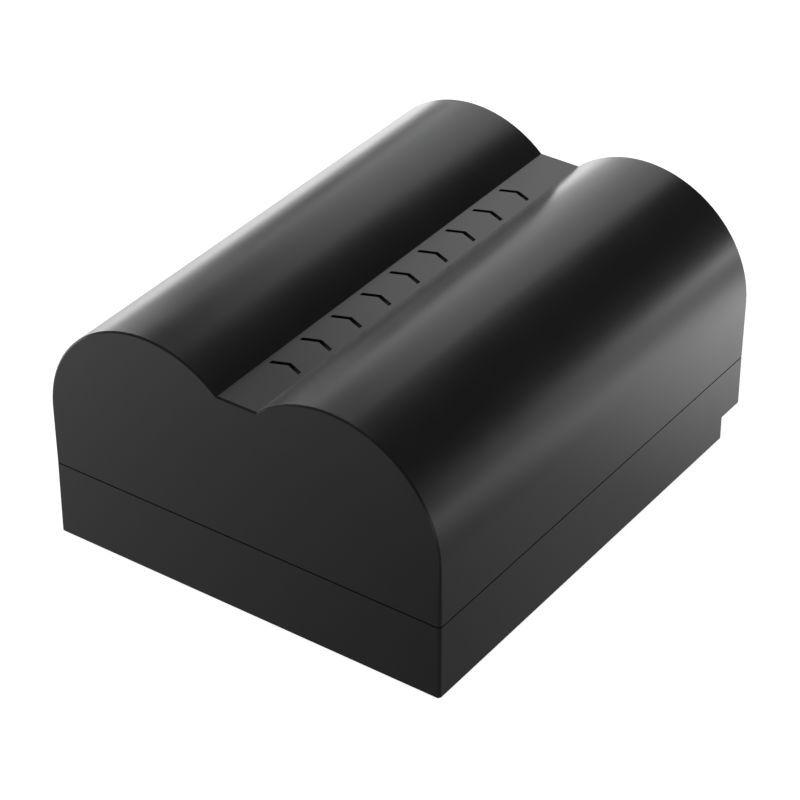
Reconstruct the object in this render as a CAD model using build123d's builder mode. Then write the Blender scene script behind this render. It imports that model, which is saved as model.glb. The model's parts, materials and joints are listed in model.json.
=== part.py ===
"""Camera battery: two cylindrical cells side by side in a two-piece moulded case.

X runs across the cells, Y along them towards the contact end and Z up.
The origin is the centre of the flat base. Sizes are in millimetres.
"""

import os
from math import sqrt

from build123d import *

# Cells: crimped steel cans, each in a shrink sleeve
cell_diameter = 18.0
cell_length = 45.0
can_bevel = 0.5
bead_setback = 3.4
bead_width = 1.4
bead_depth = 0.7
cap_diameter = 7.4
cap_height = 0.8
sleeve_thickness = 0.1
sleeve_lap = 1.6
ring_thickness = 0.15
cell_gap = 0.1

# Case mouldings
wall = 1.0
floor = 1.0
valley_width = 3.96
edge_break = 0.25
pad_space = 0.53
pad_width = 9.0
pad_length = 30.0
rib_count = 4
rib_inset = 5.0
rib_thickness = 1.2

# Parting seam: a tongue under the upper rim stands on a step inside the lower rim
seam_height = 7.4
seam_gap = 0.12
tongue_height = 1.0
tongue_thickness = 0.45

# Contact end: a notch at each lower corner and a slot in front of each terminal
notch_width = 6.0
notch_depth = 3.2
notch_height = 2.5
slot_width = 1.7
slot_depth = 1.6
slot_roof = 0.6
terminal_names = ("positive", "temperature", "data", "negative")
terminal_pitch = 3.2
terminal_width = 2.2
terminal_thickness = 0.4
terminal_sill = 0.8
terminal_foot = 2.4
nose_cheek = 0.8

# Circuit board lying flat under the cells
board_lift = 0.5
board_thickness = 0.8
board_width = 24.6
board_length = 24.0
part_space = 1.78
seat_diameter = 2.4
pin_diameter = 1.2
pin_rise = 0.4
pin_inset = 2.0
pin_far_inset = 5.2
chip_height = 0.95
chip_bevel = 0.12
leg_count = 4
leg_width = 0.35
leg_reach = 0.5
leg_thickness = 0.2

# Strips and insulating papers
strip_thickness = 0.15
strip_width = 3.6
strip_corner = 2.0
link_height = 7.0
tail_width = 3.0
bend_radius = 0.4
weld_diameter = 1.4
weld_spacing = 2.4
paper_thickness = 0.15
paper_margin = 1.4

# Clearances
film_fit = 0.01
pad_fit = 0.02
slip_fit = 0.05
cell_clearance = 0.3

# Layout across the pack
sleeve_end = film_fit + sleeve_thickness
sleeve_radius = cell_diameter / 2 + sleeve_end
half_pitch = sleeve_radius + cell_gap / 2
lobe_radius = sleeve_radius + pad_space + wall
half_width = half_pitch + lobe_radius

# Layout in height
board_bottom = floor + board_lift
board_top = board_bottom + board_thickness
cell_underside = board_top + part_space
cell_height = cell_underside + sleeve_radius
case_height = cell_height + lobe_radius
valley_height = cell_height + sqrt(lobe_radius**2 - (half_pitch - valley_width / 2) ** 2)
weld_height = seam_height - tongue_height
lower_rim = seam_height - seam_gap / 2
upper_rim = seam_height + seam_gap / 2
rib_top = weld_height - cell_clearance
nose_top = cell_underside - cell_clearance
slot_top = nose_top - slot_roof

# Layout along the pack
end_stack = wall + paper_thickness + strip_thickness + sleeve_end
length = cell_length + 2 * end_stack
end_face = length / 2
end_inner = end_face - wall
strip_outer = end_inner - paper_thickness
strip_inner = strip_outer - strip_thickness
cell_end = strip_inner - sleeve_end
terminal_front = end_face - slot_depth
nose_back = terminal_front - terminal_thickness
board_far = nose_back - bend_radius
board_near = board_far - board_length
board_middle = (board_far + board_near) / 2

terminal_count = len(terminal_names)
terminal_x = [terminal_pitch * (index - (terminal_count - 1) / 2) for index in range(terminal_count)]
nose_width = (terminal_count - 1) * terminal_pitch + terminal_width + 2 * nose_cheek
rib_pitch = (cell_length - 2 * rib_inset) / (rib_count - 1)
pin_x = board_width / 2 - pin_inset
pin_points = [(x, y) for x in (-pin_x, pin_x) for y in (board_near + pin_inset, board_far - pin_far_inset)]
tail_gap = sqrt((sleeve_radius + slip_fit) ** 2 - (half_pitch - tail_width / 2) ** 2)
tail_height = cell_height - tail_gap - bend_radius - strip_thickness

sides = (("left", -1), ("right", 1))

os.makedirs("parts", exist_ok=True)


def two_lobe_outline(radius: float, valley: float, foot: float) -> None:
    """Draw the outline across the pack: two lobes about the cell axes, a flat valley and straight sides."""
    flank = half_pitch - sqrt(radius**2 - (valley - cell_height) ** 2)
    side = half_pitch + radius
    crown = cell_height + radius
    Line((-flank, valley), (flank, valley))
    ThreePointArc((flank, valley), (half_pitch, crown), (side, cell_height))
    Polyline((side, cell_height), (side, foot), (-side, foot), (-side, cell_height))
    ThreePointArc((-side, cell_height), (-half_pitch, crown), (-flank, valley))


def across(y: float) -> Plane:
    """Plane across the pack at a distance along it, seen from the plain end."""
    return Plane.XZ.offset(-y)


def cell_plane(side: int) -> Plane:
    """Plane through a cell axis: X is the radius and Y runs from the can base to the cap."""
    base = (side * half_pitch, side * cell_end, cell_height)
    return Plane(origin=base, x_dir=(-side, 0, 0), z_dir=(0, 0, 1))


def cell_axis(side: int) -> Axis:
    """Axis of one cell."""
    return Axis((side * half_pitch, 0, cell_height), (0, 1, 0))


# Upper case: the lobed shell, open below, with its tongue
with BuildPart() as upper_case:
    with BuildSketch(across(end_face)):
        with BuildLine():
            two_lobe_outline(lobe_radius, valley_height, upper_rim)
        make_face()
    extrude(amount=length)
    end_edges = upper_case.faces().filter_by(Axis.Y).edges()
    chamfer(end_edges.filter_by_position(Axis.Z, upper_rim, case_height, inclusive=(False, True)), edge_break)
    with BuildSketch(across(end_inner)):
        with BuildLine():
            two_lobe_outline(lobe_radius - wall, valley_height - wall, upper_rim)
        make_face()
    extrude(amount=2 * end_inner, mode=Mode.SUBTRACT)
    with BuildSketch(Plane.XY.offset(weld_height)):
        tongue_inset = wall - tongue_thickness
        Rectangle(2 * (half_width - tongue_inset), length - 2 * tongue_inset)
        Rectangle(2 * (half_width - wall), length - 2 * wall, mode=Mode.SUBTRACT)
    extrude(amount=upper_rim - weld_height)
upper_case.part.label = "upper_case"
export_step(upper_case.part, "parts/upper_case.step")

# Lower cover: the tray with the cell cradle, the board seats and the contact nose
with BuildPart() as lower_cover:
    with BuildSketch():
        Rectangle(2 * half_width, length)
    extrude(amount=lower_rim)
    chamfer(lower_cover.edges().filter_by(Axis.Z), edge_break)
    chamfer(lower_cover.faces().sort_by(Axis.Z)[0].edges(), edge_break)
    with BuildSketch(Plane.XY.offset(floor)):
        Rectangle(2 * (half_width - wall), length - 2 * wall)
    extrude(amount=lower_rim, mode=Mode.SUBTRACT)
    with BuildSketch(Plane.XY.offset(weld_height)):
        lip = wall - tongue_thickness - slip_fit
        Rectangle(2 * (half_width - lip), length - 2 * lip)
    extrude(amount=tongue_height, mode=Mode.SUBTRACT)

    # Cradle ribs, open in the middle where the board lies
    for index in range(rib_count):
        with BuildSketch(across(-cell_end + rib_inset + index * rib_pitch)):
            with Locations((0, floor)):
                Rectangle(2 * (half_width - wall), rib_top - floor, align=(Align.CENTER, Align.MIN))
            with Locations((-half_pitch, cell_height), (half_pitch, cell_height)):
                Circle(sleeve_radius + film_fit, mode=Mode.SUBTRACT)
        extrude(amount=rib_thickness / 2, both=True)
    with BuildSketch(Plane.XY.offset(floor)):
        with Locations((0, board_middle)):
            Rectangle(board_width + 2 * cell_clearance, board_length + 2 * cell_clearance)
    extrude(amount=rib_top, mode=Mode.SUBTRACT)

    # Board seats with locating pins
    with BuildSketch(Plane.XY.offset(floor)):
        with Locations(*pin_points):
            Circle(seat_diameter / 2)
    extrude(amount=board_lift)
    with BuildSketch(Plane.XY.offset(board_bottom)):
        with Locations(*pin_points):
            Circle(pin_diameter / 2)
    extrude(amount=board_thickness + pin_rise)

    # Corner notches and the walls that close them inside
    with BuildSketch(Plane.XY.offset(floor / 2)):
        with Locations((wall / 2 - half_width, end_face - wall / 2)):
            Rectangle(notch_width + wall / 2, notch_depth + wall / 2, align=(Align.MIN, Align.MAX))
        with Locations((half_width - wall / 2, end_face - wall / 2)):
            Rectangle(notch_width + wall / 2, notch_depth + wall / 2, align=(Align.MAX, Align.MAX))
    extrude(amount=notch_height + wall - floor / 2)
    with BuildSketch():
        with Locations((-half_width, end_face)):
            Rectangle(notch_width, notch_depth, align=(Align.MIN, Align.MAX))
        with Locations((half_width, end_face)):
            Rectangle(notch_width, notch_depth, align=(Align.MAX, Align.MAX))
    extrude(amount=notch_height, mode=Mode.SUBTRACT)

    # Contact nose: slots open to the end and the base, a pocket for each terminal behind
    with BuildSketch(Plane.XY.offset(floor / 2)):
        with Locations((0, nose_back)):
            Rectangle(nose_width, end_face - wall / 2 - nose_back, align=(Align.CENTER, Align.MIN))
    extrude(amount=nose_top - floor / 2)
    with BuildSketch():
        with Locations(*[(x, end_face) for x in terminal_x]):
            Rectangle(slot_width, slot_depth, align=(Align.CENTER, Align.MAX))
    extrude(amount=slot_top, mode=Mode.SUBTRACT)
    with BuildSketch(Plane.XY.offset(terminal_sill)):
        with Locations(*[(x, nose_back) for x in terminal_x]):
            Rectangle(
                terminal_width + 2 * slip_fit, terminal_thickness, align=(Align.CENTER, Align.MIN)
            )
    extrude(amount=nose_top, mode=Mode.SUBTRACT)
lower_cover.part.label = "lower_cover"
export_step(lower_cover.part, "parts/lower_cover.step")

# Cells, sleeves and rings: the two cells lie head to tail
can_radius = cell_diameter / 2
shoulder = cell_length - cap_height
lap_radius = can_radius - sleeve_lap
for name, side in sides:
    with BuildPart() as cell:
        with BuildSketch(cell_plane(side)):
            body = Rectangle(can_radius, shoulder, align=Align.MIN)
            chamfer(body.vertices().sort_by(Axis.X)[-2:], can_bevel)
            with Locations((can_radius, shoulder - bead_setback)):
                Rectangle(2 * bead_depth, bead_width, mode=Mode.SUBTRACT)
            Rectangle(cap_diameter / 2, cell_length, align=Align.MIN)
        revolve(axis=cell_axis(side))
    cell.part.label = f"cell_{name}"
    export_step(cell.part, f"parts/cell_{name}.step")

    with BuildPart() as sleeve:
        with BuildSketch(cell_plane(side)):
            with Locations((0, shoulder / 2)):
                skin = (Align.MIN, Align.CENTER)
                Rectangle(sleeve_radius, shoulder + 2 * sleeve_end, align=skin)
                Rectangle(can_radius + film_fit, shoulder + 2 * film_fit, align=skin, mode=Mode.SUBTRACT)
                Rectangle(lap_radius, shoulder + 2 * sleeve_end, align=skin, mode=Mode.SUBTRACT)
        revolve(axis=cell_axis(side))
    sleeve.part.label = f"sleeve_{name}"
    export_step(sleeve.part, f"parts/sleeve_{name}.step")

    with BuildPart() as insulating_ring:
        with BuildSketch(cell_plane(side)):
            with Locations((cap_diameter / 2 + cell_clearance, shoulder)):
                ring_width = lap_radius - slip_fit - cap_diameter / 2 - cell_clearance
                Rectangle(ring_width, ring_thickness, align=Align.MIN)
        revolve(axis=cell_axis(side))
    insulating_ring.part.label = f"insulating_ring_{name}"
    export_step(insulating_ring.part, f"parts/insulating_ring_{name}.step")

    with BuildPart() as foam_pad:
        with BuildSketch(across(0)):
            with Locations((side * half_pitch, cell_height)):
                Circle(lobe_radius - wall - pad_fit)
                Circle(sleeve_radius + pad_fit, mode=Mode.SUBTRACT)
                Rectangle(pad_width, lobe_radius, align=(Align.CENTER, Align.MIN), mode=Mode.INTERSECT)
        extrude(amount=pad_length / 2, both=True)
    foam_pad.part.label = f"foam_pad_{name}"
    export_step(foam_pad.part, f"parts/foam_pad_{name}.step")

# Series strip: links the two cells at the plain end, its tail runs below them to the board
weld_rows = (cell_height - weld_spacing / 2, cell_height + weld_spacing / 2)
weld_points = [(x, z) for x in (-half_pitch, half_pitch) for z in weld_rows]
tail_drop = board_near + 2 * bend_radius
with BuildPart() as series_strip:
    with BuildSketch(across(-strip_inner)):
        with Locations((0, cell_height)):
            RectangleRounded(2 * half_pitch + link_height, link_height, strip_corner)
    extrude(amount=strip_thickness)
    with BuildSketch(across(-cell_end)):
        with Locations(*weld_points):
            Circle(weld_diameter / 2)
    extrude(amount=sleeve_end)
    with BuildSketch(Plane.YZ):
        with BuildLine():
            FilletPolyline(
                (-strip_outer + strip_thickness / 2, cell_height),
                (-strip_outer + strip_thickness / 2, tail_height + strip_thickness / 2),
                (tail_drop, tail_height + strip_thickness / 2),
                (tail_drop, board_top + strip_thickness / 2),
                (tail_drop + tail_width, board_top + strip_thickness / 2),
                radius=bend_radius,
            )
        trace(line_width=strip_thickness)
    extrude(amount=tail_width / 2, both=True)
series_strip.part.label = "series_strip"
export_step(series_strip.part, "parts/series_strip.step")

# End strips: from the two outer cell ends down to the board
for name, side in (("positive_strip", -1), ("negative_strip", 1)):
    with BuildPart() as end_strip:
        with BuildSketch(Plane.YZ.offset(side * half_pitch)):
            with BuildLine():
                FilletPolyline(
                    (strip_inner + strip_thickness / 2, cell_height + link_height / 2),
                    (strip_inner + strip_thickness / 2, board_top + strip_thickness / 2),
                    (board_far - terminal_foot, board_top + strip_thickness / 2),
                    radius=bend_radius,
                )
            trace(line_width=strip_thickness)
        extrude(amount=strip_width / 2, both=True)
        with BuildSketch(across(strip_inner)):
            with Locations(*[point for point in weld_points if point[0] * side > 0]):
                Circle(weld_diameter / 2)
        extrude(amount=sleeve_end)
    end_strip.part.label = name
    export_step(end_strip.part, f"parts/{name}.step")

# Insulating papers at the two ends and between board and cells
paper_width = 2 * half_pitch + link_height + 2 * paper_margin
paper_top = cell_height + link_height / 2 + paper_margin
with BuildPart() as near_insulator:
    with BuildSketch(across(-strip_outer)):
        with Locations((0, paper_top)):
            near_height = paper_top - tail_height
            RectangleRounded(paper_width, near_height, strip_corner, align=(Align.CENTER, Align.MAX))
    extrude(amount=paper_thickness)
near_insulator.part.label = "near_insulator"
export_step(near_insulator.part, "parts/near_insulator.step")

with BuildPart() as far_insulator:
    with BuildSketch(across(end_inner)):
        with Locations((0, paper_top)):
            far_height = paper_top - nose_top - cell_clearance
            RectangleRounded(paper_width, far_height, strip_corner, align=(Align.CENTER, Align.MAX))
    extrude(amount=paper_thickness)
far_insulator.part.label = "far_insulator"
export_step(far_insulator.part, "parts/far_insulator.step")

sheet_near = tail_drop + tail_width + cell_clearance
sheet_far = board_far - terminal_foot - cell_clearance
with BuildPart() as board_insulator:
    with BuildSketch(Plane.XY.offset(cell_underside - pad_fit)):
        with Locations((0, sheet_near)):
            Rectangle(board_width, sheet_far - sheet_near, align=(Align.CENTER, Align.MIN))
    extrude(amount=-paper_thickness)
board_insulator.part.label = "board_insulator"
export_step(board_insulator.part, "parts/board_insulator.step")

# Circuit board and its parts
with BuildPart() as circuit_board:
    with BuildSketch(Plane.XY.offset(board_bottom)):
        with Locations((0, board_middle)):
            Rectangle(board_width, board_length)
    extrude(amount=board_thickness)
    with Locations(Plane.XY.offset(board_top)):
        with Locations(*pin_points):
            Hole(pin_diameter / 2 + slip_fit)
circuit_board.part.label = "circuit_board"
export_step(circuit_board.part, "parts/circuit_board.step")

# Name, place on the board from its middle, width and length
chips = (
    ("protection_chip", (-5.4, -1.9), 3.0, 3.0),
    ("mosfet_chip", (5.4, -1.9), 4.4, 3.0),
)
for name, place, chip_width, chip_length in chips:
    with BuildPart() as chip:
        with BuildSketch(Plane.XY.offset(board_top + leg_thickness / 2)):
            with Locations((place[0], board_middle + place[1])):
                Rectangle(chip_width, chip_length)
        extrude(amount=chip_height - leg_thickness / 2)
        chamfer(chip.faces().sort_by(Axis.Z)[-1].edges(), chip_bevel)
        with BuildSketch(Plane.XY.offset(board_top)):
            with Locations((place[0], board_middle + place[1])):
                with GridLocations(chip_width / leg_count, chip_length, leg_count, 2):
                    Rectangle(leg_width, 2 * leg_reach)
        extrude(amount=leg_thickness)
    chip.part.label = name
    export_step(chip.part, f"parts/{name}.step")

# Name, place on the board from its middle, width, length and height
small_parts = (
    ("fuse", (7.9, 2.9), 1.6, 3.2, 0.8),
    ("sense_resistor", (-7.9, 2.9), 1.6, 3.2, 0.6),
    ("thermistor", (0.0, 1.9), 0.8, 1.6, 0.8),
    ("capacitor_1", (-2.5, -6.2), 0.8, 1.6, 0.7),
    ("capacitor_2", (2.5, -6.2), 0.8, 1.6, 0.7),
    ("capacitor_3", (7.4, -6.2), 0.8, 1.6, 0.7),
)
for name, place, part_width, part_length, part_height in small_parts:
    with BuildPart() as small_part:
        with BuildSketch(Plane.XY.offset(board_top)):
            with Locations((place[0], board_middle + place[1])):
                Rectangle(part_width, part_length)
        extrude(amount=part_height)
        chamfer(small_part.faces().sort_by(Axis.Z)[-1].edges(), chip_bevel)
    small_part.part.label = name
    export_step(small_part.part, f"parts/{name}.step")

# Terminals: a blade behind each slot with a foot on the board
for name, x in zip(terminal_names, terminal_x):
    with BuildPart() as terminal:
        with BuildSketch(Plane.YZ.offset(x)):
            with BuildLine():
                FilletPolyline(
                    (nose_back + terminal_thickness / 2, terminal_sill),
                    (nose_back + terminal_thickness / 2, board_top + terminal_thickness / 2),
                    (board_far - terminal_foot, board_top + terminal_thickness / 2),
                    radius=bend_radius,
                )
            trace(line_width=terminal_thickness)
            with Locations((nose_back, terminal_sill)):
                Rectangle(terminal_thickness, nose_top - terminal_sill, align=Align.MIN)
        extrude(amount=terminal_width / 2, both=True)
    terminal.part.label = f"terminal_{name}"
    export_step(terminal.part, f"parts/terminal_{name}.step")
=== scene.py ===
"""Camera battery: finishes, insertion marks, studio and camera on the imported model."""

import json
import logging
import math
from dataclasses import dataclass
from enum import Enum

import bmesh
import bpy
from mathutils import Matrix, Vector


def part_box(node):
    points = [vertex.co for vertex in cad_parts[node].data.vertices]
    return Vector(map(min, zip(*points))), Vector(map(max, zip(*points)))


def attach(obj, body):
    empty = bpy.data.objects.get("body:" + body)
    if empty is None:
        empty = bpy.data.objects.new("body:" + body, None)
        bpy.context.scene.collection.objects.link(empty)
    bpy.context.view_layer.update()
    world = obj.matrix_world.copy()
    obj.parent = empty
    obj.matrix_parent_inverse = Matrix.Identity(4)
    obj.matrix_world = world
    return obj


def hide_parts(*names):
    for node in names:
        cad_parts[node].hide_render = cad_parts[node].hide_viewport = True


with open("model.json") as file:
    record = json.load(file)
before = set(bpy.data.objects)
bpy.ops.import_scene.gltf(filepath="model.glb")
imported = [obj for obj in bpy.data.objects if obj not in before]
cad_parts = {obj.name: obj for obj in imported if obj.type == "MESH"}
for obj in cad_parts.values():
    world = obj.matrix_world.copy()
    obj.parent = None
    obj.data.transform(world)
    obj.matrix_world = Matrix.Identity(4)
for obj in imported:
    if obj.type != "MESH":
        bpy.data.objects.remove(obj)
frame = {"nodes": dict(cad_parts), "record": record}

LOG = logging.getLogger("camera_battery")
MM = 0.001
BODY = "root"


def linear(hex_colour: str) -> tuple[float, float, float, float]:
    """Turn an sRGB hex colour into linear RGBA.

    Args:
        hex_colour: Six hex digits.

    Returns:
        Linear red, green, blue and an alpha of one.
    """
    channels = [int(hex_colour[i:i + 2], 16) / 255 for i in (0, 2, 4)]
    # The sRGB curve is a straight line near black and a power above it.
    red, green, blue = (
        c / 12.92 if c <= 0.04045 else ((c + 0.055) / 1.055) ** 2.4 for c in channels
    )
    return red, green, blue, 1.0


def add_node(
    tree: bpy.types.NodeTree,
    kind: str,
    inputs: dict[str | int, object] | None = None,
    **settings: object,
) -> bpy.types.Node:
    """Add one shader node with its settings and links.

    Args:
        tree: Node tree of a material or of the world.
        kind: Blender's name for the node, without ShaderNode in front.
        inputs: Socket name or index to a value, or to another node's output.
        **settings: Properties of the node itself.

    Returns:
        The new node.
    """
    node = tree.nodes.new(f"ShaderNode{kind}")
    for name, value in settings.items():
        setattr(node, name, value)
    for name, value in (inputs or {}).items():
        if isinstance(value, bpy.types.NodeSocket):
            tree.links.new(value, node.inputs[name])
        else:
            node.inputs[name].default_value = value
    return node


def add_object(name: str, data: bpy.types.ID) -> bpy.types.Object:
    """Put a mesh, light or camera into the scene.

    Args:
        name: Name of the object.
        data: What the object shows.

    Returns:
        The new object, at the origin.
    """
    made = bpy.data.objects.new(name, data)
    bpy.context.scene.collection.objects.link(made)
    return made


@dataclass(frozen=True)
class Finish:
    """A real material and how its surface was made.

    The camera sees about 11 pixels to the millimetre, so a grain finer than 0.1 mm is drawn at
    about that width.

    Attributes:
        name: Common name of the material, with how it was made.
        dark: sRGB hex colour where the tone is darkest.
        light: sRGB hex colour where it is lightest.
        roughness: Lowest and highest roughness, which wander with the tone.
        patch_mm: Width of one patch of tone.
        grain_mm: Width of one bump of the grain.
        relief: Strength of the grain's bumps.
        metallic: One for bare metal, zero for the rest.
        ior: Index of refraction, left at Blender's own for a metal.
        stretch: Factors on the coordinates, where a small one draws the grain out along that axis.
        bump_mm: Height of the grain at full relief.
        tone_range: Values of the noise where the tone is darkest and lightest.
        tone_detail: Finer layers in the noise of the tone.
        grain_detail: Finer layers in the noise of the grain.
    """

    name: str
    dark: str
    light: str
    roughness: tuple[float, float]
    patch_mm: float
    grain_mm: float
    relief: float
    metallic: float = 0.0
    ior: float = 1.5
    stretch: tuple[float, float, float] = (1.0, 1.0, 1.0)
    bump_mm: float = 0.02
    tone_range: tuple[float, float] = (0.3, 0.7)
    tone_detail: float = 3.0
    grain_detail: float = 2.0

    def material(self) -> bpy.types.Material:
        """Give the procedural material of this finish.

        Returns:
            The material, made on first use.
        """
        made = bpy.data.materials.get(self.name)
        if made is not None:
            return made
        made = bpy.data.materials.new(self.name)
        made.use_nodes = True
        tree = made.node_tree
        tree.nodes.clear()
        place = add_node(tree, "TexCoord").outputs["Object"]
        drawn = add_node(tree, "VectorMath", {0: place, 1: self.stretch}, operation="MULTIPLY")
        tone = add_node(tree, "TexNoise", {
            "Vector": place,
            "Scale": 1 / (self.patch_mm * MM),
            "Detail": self.tone_detail,
        })
        grain = add_node(tree, "TexNoise", {
            "Vector": drawn.outputs["Vector"],
            "Scale": 1 / (self.grain_mm * MM),
            "Detail": self.grain_detail,
        })
        darkest, lightest = self.tone_range
        spread = {"Value": tone.outputs["Fac"], "From Min": darkest, "From Max": lightest}
        share = add_node(tree, "MapRange", spread)
        # Inputs 6 and 7 of this node are its two colours, and output 2 is their mix.
        ends = {0: share.outputs["Result"], 6: linear(self.dark), 7: linear(self.light)}
        colour = add_node(tree, "Mix", ends, data_type="RGBA")
        low, high = self.roughness
        gloss = add_node(tree, "MapRange", {**spread, "To Min": low, "To Max": high})
        bumps = add_node(tree, "Bump", {
            "Strength": self.relief,
            "Distance": self.bump_mm * MM,
            "Height": grain.outputs["Fac"],
        })
        shader = add_node(tree, "BsdfPrincipled", {
            "Base Color": colour.outputs[2],
            "Roughness": gloss.outputs["Result"],
            "Metallic": self.metallic,
            "IOR": self.ior,
            "Normal": bumps.outputs["Normal"],
        })
        add_node(tree, "OutputMaterial", {"Surface": shader.outputs["BSDF"]})
        return made


class Slot(Enum):
    """Material slots of the record, each with the finish of its real material."""

    # ABS moulded in a fine spark-eroded tool: satin black, with broad soft reflections and no
    # mirror image. The tool's grain is about 0.03 mm wide and is drawn coarser.
    case_plastic = Finish(
        "spark_eroded_abs", dark="171718", light="1a1a1b", roughness=(0.28, 0.31),
        patch_mm=6.0, grain_mm=0.11, relief=0.03,
    )
    # Deep-drawn steel with nickel plating: bright, and a little streaked along the can by the die.
    can_steel = Finish(
        "drawn_plated_steel", dark="b9b8b4", light="d3d2ce", roughness=(0.24, 0.36),
        patch_mm=3.0, grain_mm=0.12, relief=0.04, metallic=1.0, stretch=(1.0, 0.08, 1.0),
    )
    # PET film shrunk by heat: smooth and glossy, with slow ripples where it drew tight.
    sleeve_film = Finish(
        "shrunk_pet_film", dark="1c4f78", light="235d8b", roughness=(0.2, 0.3),
        patch_mm=4.0, grain_mm=0.5, relief=0.05, ior=1.57,
    )
    # Pressed insulating paper: chalky, with felted fibres of about 0.03 mm, drawn coarser.
    ring_paper = Finish(
        "pressed_cotton_paper", dark="d9d5c6", light="e6e2d5", roughness=(0.7, 0.85),
        patch_mm=1.5, grain_mm=0.1, relief=0.2,
    )
    # Die-cut polyethylene foam: dull and open, with cells of about 0.15 mm.
    foam = Finish(
        "die_cut_pe_foam", dark="202022", light="2d2d30", roughness=(0.85, 0.95),
        patch_mm=1.0, grain_mm=0.15, relief=0.6,
    )
    # Rolled nickel strip: warm white metal with fine lines along the rolling.
    nickel = Finish(
        "rolled_nickel", dark="c6c2b6", light="dcd8cd", roughness=(0.2, 0.34),
        patch_mm=2.0, grain_mm=0.1, relief=0.05, metallic=1.0, stretch=(1.0, 0.1, 1.0),
    )
    # Calendered barley paper: grey green and matte, with a faint felted surface.
    barley_paper = Finish(
        "calendered_barley_paper", dark="5c7563", light="6d8672", roughness=(0.7, 0.85),
        patch_mm=1.5, grain_mm=0.1, relief=0.2,
    )
    # Solder resist on glass laminate: clear green gloss over a weave of about 0.2 mm.
    board = Finish(
        "solder_resist_on_laminate", dark="0c4a2a", light="12603a", roughness=(0.3, 0.42),
        patch_mm=1.2, grain_mm=0.2, relief=0.08,
    )
    # Epoxy moulded round a chip: dark grey, evenly matte from its glass filler.
    chip_epoxy = Finish(
        "filled_moulded_epoxy", dark="19191a", light="222224", roughness=(0.5, 0.6),
        patch_mm=0.6, grain_mm=0.1, relief=0.15, ior=1.55,
    )
    # Fired alumina: off white with a slight glaze.
    ceramic_white = Finish(
        "fired_alumina", dark="d8d2c3", light="e4dfd2", roughness=(0.4, 0.5),
        patch_mm=0.5, grain_mm=0.1, relief=0.1, ior=1.76,
    )
    # Fired titanate of small capacitors: tan and smooth.
    ceramic_tan = Finish(
        "fired_titanate", dark="8d6e4e", light="a0805e", roughness=(0.4, 0.5),
        patch_mm=0.5, grain_mm=0.1, relief=0.1, ior=1.9,
    )
    # Gold plated on stamped brass: warm and bright, with faint lines from the stamping.
    gold_plate = Finish(
        "gold_plated_brass", dark="dab055", light="dfb65c", roughness=(0.2, 0.26),
        patch_mm=0.8, grain_mm=0.1, relief=0.05, metallic=1.0, stretch=(1.0, 1.0, 0.2),
    )


@dataclass
class CaseHalf:
    """One moulded half of the case, a copy of its solid with smooth walls and crisp corners.

    Attributes:
        node: CAD node that the half stands for.
        weld_mm: Corners closer than this are one.
        curve_deg: Faces that meet at less than this are one curved wall.
        slot: Material slot of the moulding.
    """

    node: str
    weld_mm: float = 0.0005
    curve_deg: float = 25.0
    slot: Slot = Slot.case_plastic

    def build(self) -> bpy.types.Object:
        """Make the half, dress it and set it in the frame.

        Returns:
            The piece that stands for the CAD node.
        """
        mesh = bpy.data.meshes.new(f"{self.node}_shell")
        form = bmesh.new()
        form.from_mesh(frame["nodes"][self.node].data)
        bmesh.ops.remove_doubles(form, verts=form.verts, dist=self.weld_mm * MM)
        form.to_mesh(mesh)
        form.free()
        piece = add_object(mesh.name, mesh)
        self.shape(piece)
        self.soften(piece)
        piece.data.materials.clear()
        piece.data.materials.append(self.slot.value.material())
        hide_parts(self.node)
        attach(piece, BODY)
        return piece

    def shape(self, piece: bpy.types.Object) -> None:
        """Leave a plain half as its solid gives it."""

    def soften(self, piece: bpy.types.Object) -> None:
        """Shade curved walls smooth and keep corners and their small bevels crisp.

        Args:
            piece: The half.
        """
        form = bmesh.new()
        form.from_mesh(piece.data)
        form.normal_update()
        for face in form.faces:
            face.smooth = True
        for edge in form.edges:
            edge.smooth = math.degrees(edge.calc_face_angle(math.pi)) < self.curve_deg
        form.to_mesh(piece.data)
        form.free()
        even = piece.modifiers.new("even_faces", "WEIGHTED_NORMAL")
        even.keep_sharp = True
        self.bake(piece)

    @staticmethod
    def bake(piece: bpy.types.Object) -> None:
        """Apply every modifier of a piece to its mesh.

        Args:
            piece: The half.
        """
        graph = bpy.context.evaluated_depsgraph_get()
        baked = bpy.data.meshes.new_from_object(piece.evaluated_get(graph))
        old = piece.data
        piece.modifiers.clear()
        piece.data = baked
        bpy.data.meshes.remove(old)
        baked.name = piece.name


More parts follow.
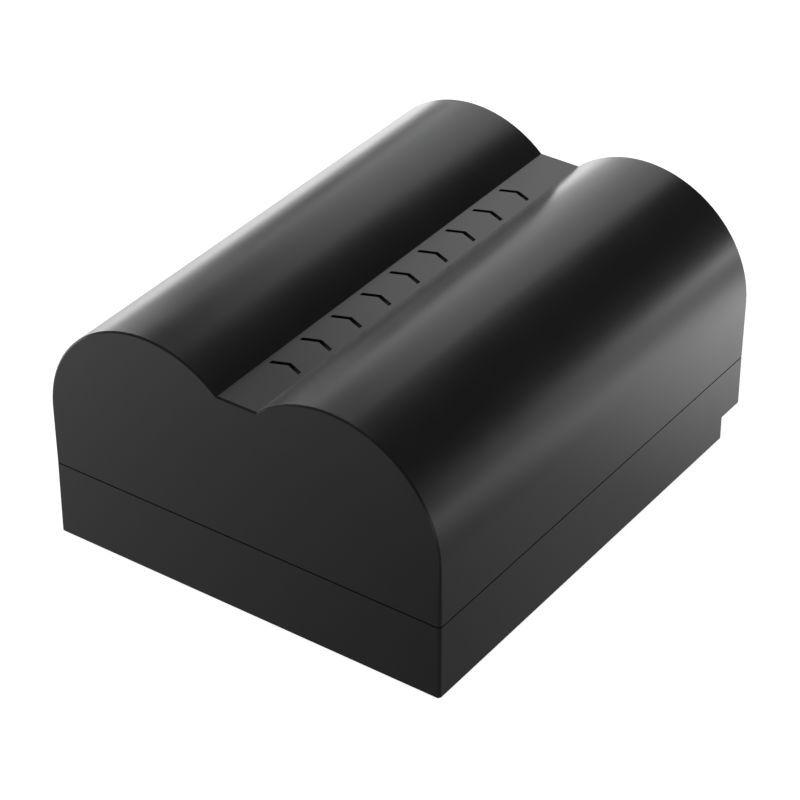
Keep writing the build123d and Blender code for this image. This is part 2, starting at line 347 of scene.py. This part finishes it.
@dataclass
class LobedHalf(CaseHalf):
    """Upper half, with a row of chevrons engraved in the valley that point to the contact end.

    Lengths are in millimetres.

    Attributes:
        count: Number of chevrons.
        pitch: Distance from one to the next.
        half_width: Reach of each arm across the valley.
        rise: Length of a chevron along the valley.
        stroke: Width of an arm.
        depth: Depth of the engraving.
        first: Place of the first one along the battery.
        valley: Half width in which the valley floor is looked for.
        level: Upward part of a face's normal from which the face is level.
        prism: Height of a cutting prism as a multiple of the depth.
        crisp: Width that the bevel round each end is drawn at.
        close: Distance within which a corner is on a bevel's edge.
    """

    count: int = 9
    pitch: float = 4.2
    half_width: float = 1.5
    rise: float = 0.62
    stroke: float = 0.4
    depth: float = 0.6
    first: float = -17.2
    valley: float = 1.5
    level: float = 0.99
    prism: float = 3.0
    crisp: float = 0.15
    close: float = 0.02

    def shape(self, piece: bpy.types.Object) -> None:
        """Narrow the end bevels and engrave the chevrons.

        Args:
            piece: The half.
        """
        self.narrow_bevels(piece)
        cutter = self.cutter(self.valley_floor(piece))
        cut = piece.modifiers.new("engraving", "BOOLEAN")
        cut.operation = "DIFFERENCE"
        cut.solver = "EXACT"
        cut.object = cutter
        self.bake(piece)
        bpy.data.objects.remove(cutter)

    def narrow_bevels(self, piece: bpy.types.Object) -> None:
        """Draw the bevel round each end at its crisp width, growing to the solid's own at the seam.

        Args:
            piece: The half.
        """
        close = self.close * MM
        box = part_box(self.node)
        wall = box[1][0] - close
        form = bmesh.new()
        form.from_mesh(piece.data)
        for end in (corner[1] for corner in box):
            inset = {vert: abs(vert.co.y - end) for vert in form.verts}
            seam = min(vert.co.z for vert, depth in inset.items() if depth < close) + close
            bevel = min(depth for vert, depth in inset.items() if vert.co.x > wall)
            above = [vert for vert in form.verts if vert.co.z > seam]
            band = [vert for vert in above if inset[vert] < bevel + close]
            rim = [vert.co.copy() for vert in band if inset[vert] > bevel - close]
            for vert in band:
                mate = min(rim, key=lambda spot: (spot - vert.co).length)
                corner = Vector((mate.x, end, mate.z))
                vert.co = corner + (vert.co - corner) * (self.crisp * MM / bevel)
        form.to_mesh(piece.data)
        form.free()

    def valley_floor(self, piece: bpy.types.Object) -> float:
        """Find the height of the flat valley floor.

        Args:
            piece: The half.

        Returns:
            Height in metres.
        """
        flat = [face.center for face in piece.data.polygons if face.normal.z > self.level]
        return max(centre.z for centre in flat if abs(centre.x) < self.valley * MM)

    def cutter(self, floor: float) -> bpy.types.Object:
        """Build the closed prisms that engrave the chevrons.

        Args:
            floor: Height of the valley floor in metres.

        Returns:
            One object with a prism for each chevron.
        """
        form = bmesh.new()
        drop = self.stroke * math.hypot(self.half_width, self.rise) / self.half_width
        tips = [(-self.half_width, 0.0), (0.0, self.rise), (self.half_width, 0.0)]
        outline = tips + [(x, y - drop) for x, y in reversed(tips)]
        depth = self.depth * MM
        for index in range(self.count):
            along = self.first + index * self.pitch
            spots = [(x * MM, (y + along) * MM, floor - depth) for x, y in outline]
            base = form.faces.new([form.verts.new(spot) for spot in spots])
            grown = bmesh.ops.extrude_face_region(form, geom=[base])["geom"]
            lifted = [item for item in grown if isinstance(item, bmesh.types.BMVert)]
            bmesh.ops.translate(form, verts=lifted, vec=(0.0, 0.0, self.prism * depth))
        bmesh.ops.recalc_face_normals(form, faces=form.faces)
        mesh = bpy.data.meshes.new("chevron_cutter")
        form.to_mesh(mesh)
        form.free()
        return add_object(mesh.name, mesh)


@dataclass
class Insides:
    """Cells, strips, papers, circuit board and terminals, shown as their solids give them.

    Attributes:
        hidden: CAD nodes that a case half stands for.
    """

    hidden: tuple[str, ...]

    def dress(self) -> list[str]:
        """Give each solid the finish of its slot.

        Returns:
            A line on each dressed node.
        """
        lines = []
        for part in frame["record"]["subparts"]:
            if part["node"] in self.hidden:
                continue
            finish = Slot[part["material_slot"]].value
            data = frame["nodes"][part["node"]].data
            data.materials.clear()
            data.materials.append(finish.material())
            lines.append(f"{part['node']} in {finish.name}")
        return lines


@dataclass(frozen=True)
class PhotoCamera:
    """The photograph's camera.

    Attributes:
        azimuth: Turn round the battery in degrees.
        elevation: Height above the horizon in degrees.
        distance: Distance from the pivot in millimetres.
        aside: Move to the right in millimetres.
        above: Move upwards in the picture in millimetres.
        pivot: Point that the camera turns round, in millimetres.
        focal_px: Focal length in pixels.
        image_px: Width of the picture in pixels.
        sensor_mm: Width of the sensor.
        near_mm: Nearest distance that is drawn.
    """

    azimuth: float = 35.115
    elevation: float = 34.286
    distance: float = 265.881
    aside: float = -1.917
    above: float = -3.304
    pivot: tuple[float, float, float] = (0.0, 2.09, 11.0)
    focal_px: float = 3056.292
    image_px: float = 800.0
    sensor_mm: float = 36.0
    near_mm: float = 5.0

    def place(self) -> bpy.types.Object:
        """Put the camera up and make it the scene's own.

        Returns:
            The camera.
        """
        turn, tilt = math.radians(self.azimuth), math.radians(self.elevation)
        level = math.cos(tilt)
        back = Vector((math.sin(turn) * level, -math.cos(turn) * level, math.sin(tilt)))
        right = (-back).cross(Vector((0, 0, 1))).normalized()
        up = right.cross(-back)
        spot = Vector(self.pivot) + back * self.distance + right * self.aside + up * self.above
        data = bpy.data.cameras.new("photo_camera")
        data.sensor_width = self.sensor_mm
        data.lens = self.focal_px / self.image_px * self.sensor_mm
        data.clip_start = self.near_mm * MM
        camera = add_object(data.name, data)
        facing = Matrix((right, up, back)).transposed().to_4x4()
        camera.matrix_world = Matrix.Translation(spot * MM) @ facing
        bpy.context.scene.camera = camera
        return camera


@dataclass(frozen=True)
class SoftBox:
    """A rectangular studio light that the camera doesn't see.

    Attributes:
        name: Name of the light.
        spot: Place in millimetres.
        aim: Point that it faces, in millimetres.
        size: Width and height in millimetres.
        power: Watts.
        roll: Turn about its own axis in degrees.
    """

    name: str
    spot: tuple[float, float, float]
    aim: tuple[float, float, float]
    size: tuple[float, float]
    power: float
    roll: float = 0.0

    def hang(self) -> bpy.types.Object:
        """Put the light up.

        Returns:
            The light.
        """
        data = bpy.data.lights.new(self.name, "AREA")
        data.shape = "RECTANGLE"
        data.size, data.size_y = (side * MM for side in self.size)
        data.energy = self.power
        light = add_object(self.name, data)
        light.visible_camera = False
        spot, aim = Vector(self.spot) * MM, Vector(self.aim) * MM
        facing = (aim - spot).to_track_quat("-Z", "Y").to_matrix().to_4x4()
        roll = Matrix.Rotation(math.radians(self.roll), 4, "Z")
        light.matrix_world = Matrix.Translation(spot) @ facing @ roll
        return light


@dataclass(frozen=True)
class Glow:
    """One smooth change of brightness on the table.

    Attributes:
        centre: Place on the table in millimetres.
        reach: Distances from the centre, in millimetres, where the change starts and ends.
        level: Strength at the start and at the end.
    """

    centre: tuple[float, float]
    reach: tuple[float, float]
    level: tuple[float, float]


@dataclass(frozen=True)
class LightTable:
    """The pale table that the battery stands on.

    Attributes:
        reflected: Painted light and painted shadow on the table for glossy surfaces, added up.
        seen: Brightness that the camera sees, added up.
        matte: sRGB hex colour that lights the battery from below.
        shadowed: sRGB hex colour that takes the battery's shadow for the camera.
        width_mm: Width of the table.
        drop_mm: Gap under the battery's base.
    """

    reflected: tuple[Glow, ...]
    seen: tuple[Glow, ...]
    matte: str = "e9e9e9"
    shadowed: str = "7a7a7a"
    width_mm: float = 4000.0
    drop_mm: float = 0.02

    def lay(self) -> bpy.types.Object:
        """Lay the table.

        Returns:
            The table, which isn't part of the battery.
        """
        form = bmesh.new()
        bmesh.ops.create_grid(form, x_segments=1, y_segments=1, size=self.width_mm * MM / 2)
        bmesh.ops.translate(form, verts=form.verts, vec=(0, 0, -self.drop_mm * MM))
        mesh = bpy.data.meshes.new("light_table")
        form.to_mesh(mesh)
        form.free()
        mesh.materials.append(self.material())
        table = add_object(mesh.name, mesh)
        return table

    def material(self) -> bpy.types.Material:
        """Make the table white for the camera, with painted light and a painted shadow in its
        reflections.

        Returns:
            The material.
        """
        made = bpy.data.materials.new("pale_table")
        made.use_nodes = True
        tree = made.node_tree
        tree.nodes.clear()
        path = add_node(tree, "LightPath").outputs
        glossy, camera = path["Is Glossy Ray"], path["Is Camera Ray"]
        reflected = self.brightness(tree, self.reflected)
        seen = self.brightness(tree, self.seen)
        matte = add_node(tree, "BsdfDiffuse", {"Color": linear(self.matte)}).outputs[0]
        # Glossy rays see painted light and a painted shadow of the battery on the table.
        glow = add_node(tree, "Emission", {"Strength": reflected}).outputs[0]
        matte_and_painted_glow = add_node(tree, "MixShader", {0: glossy, 1: matte, 2: glow}).outputs[0]
        shadow = add_node(tree, "BsdfDiffuse", {"Color": linear(self.shadowed)}).outputs[0]
        white = add_node(tree, "Emission", {"Strength": seen}).outputs[0]
        shown = add_node(tree, "AddShader", {0: shadow, 1: white}).outputs[0]
        surface = add_node(tree, "MixShader", {0: camera, 1: matte_and_painted_glow, 2: shown}).outputs[0]
        add_node(tree, "OutputMaterial", {"Surface": surface})
        return made

    @staticmethod
    def brightness(
        tree: bpy.types.NodeTree, glows: tuple[Glow, ...]
    ) -> bpy.types.NodeSocket | float:
        """Add up changes of brightness over the table.

        Args:
            tree: The table's node tree.
            glows: Changes that are added together.

        Returns:
            The strength at each place, or zero with no changes.
        """
        place = add_node(tree, "TexCoord").outputs["Object"]
        total: bpy.types.NodeSocket | float = 0.0
        for glow in glows:
            centre = (glow.centre[0] * MM, glow.centre[1] * MM, 0.0)
            away = add_node(tree, "VectorMath", {0: place, 1: centre}, operation="DISTANCE")
            start, end = glow.reach
            near, far = glow.level
            fade = add_node(tree, "MapRange", {
                "Value": away.outputs["Value"],
                "From Min": start * MM,
                "From Max": end * MM,
                "To Min": near,
                "To Max": far,
            }, interpolation_type="SMOOTHSTEP")
            both = {0: fade.outputs["Result"], 1: total}
            total = add_node(tree, "Math", both, operation="ADD").outputs["Value"]
        return total


@dataclass(frozen=True)
class Surroundings:
    """The room: white to the camera and a dim grey to everything else.

    Attributes:
        dim: Strength of the grey.
        bright: Strength of the white.
        colour: sRGB hex colour of both.
    """

    dim: float = 0.08
    bright: float = 1.0
    colour: str = "ffffff"

    def put_up(self) -> bpy.types.World:
        """Make the room the scene's own.

        Returns:
            The world.
        """
        world = bpy.data.worlds.new("studio")
        world.use_nodes = True
        tree = world.node_tree
        tree.nodes.clear()
        camera = add_node(tree, "LightPath").outputs["Is Camera Ray"]
        grey, white = (
            add_node(tree, "Background", {"Color": linear(self.colour), "Strength": level}).outputs[0]
            for level in (self.dim, self.bright)
        )
        surface = add_node(tree, "MixShader", {0: camera, 1: grey, 2: white}).outputs[0]
        add_node(tree, "OutputWorld", {"Surface": surface})
        bpy.context.scene.world = world
        return world


SOFT_BOXES = (
    SoftBox("left_key", spot=(-409, 110, 235), aim=(0, 0, 10), size=(300, 250), power=2.59),
    SoftBox("top_fill", spot=(0, -87, 502), aim=(0, 0, 10), size=(400, 400), power=0.81),
    SoftBox("back_panel", spot=(-67, 136, 100), aim=(-7, 6, 7), size=(80, 132), power=0.0448, roll=45),
    SoftBox("low_left_strip", spot=(-230, 398, 31.5), aim=(0, 0, 31.5), size=(160, 57), power=0.106),
    SoftBox("low_right_strip", spot=(230, 398, 31.5), aim=(0, 0, 31.5), size=(160, 57), power=0.268),
)
LIGHT_TABLE = LightTable(
    reflected=(
        # Painted shadow in front of the battery's right side, fading to painted light further out.
        Glow(centre=(34, -38), reach=(0, 150), level=(0.19, 1.28)),
        # Painted pool of light on the table behind the battery's right side.
        Glow(centre=(35, 60), reach=(0, 55), level=(1.94, 0.0)),
        # Painted light on the far table behind the battery to the left.
        Glow(centre=(-450, 450), reach=(414, 575), level=(2.47, 0.0)),
        # Painted light on the table to the battery's left.
        Glow(centre=(-500, 0), reach=(440, 485), level=(0.23, 0.0)),
    ),
    seen=(Glow(centre=(0, 0), reach=(40, 130), level=(0.96, 1.0)),),
)


def main() -> None:
    """Build the case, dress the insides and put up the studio."""
    logging.basicConfig(level=logging.INFO)
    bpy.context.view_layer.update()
    halves = (LobedHalf("upper_case"), CaseHalf("lower_cover"))
    for half in halves:
        LOG.info("%s stands for %s, in %s", half.build().name, half.node, half.slot.value.name)
    for line in Insides(tuple(half.node for half in halves)).dress():
        LOG.info(line)
    LOG.info("%s placed", PhotoCamera().place().name)
    for box in SOFT_BOXES:
        LOG.info("%s hung", box.hang().name)
    LOG.info("%s laid", LIGHT_TABLE.lay().name)
    LOG.info("%s put up", Surroundings().put_up().name)
    bpy.context.scene.view_settings.view_transform = "Standard"


if __name__ == "__main__":
    main()
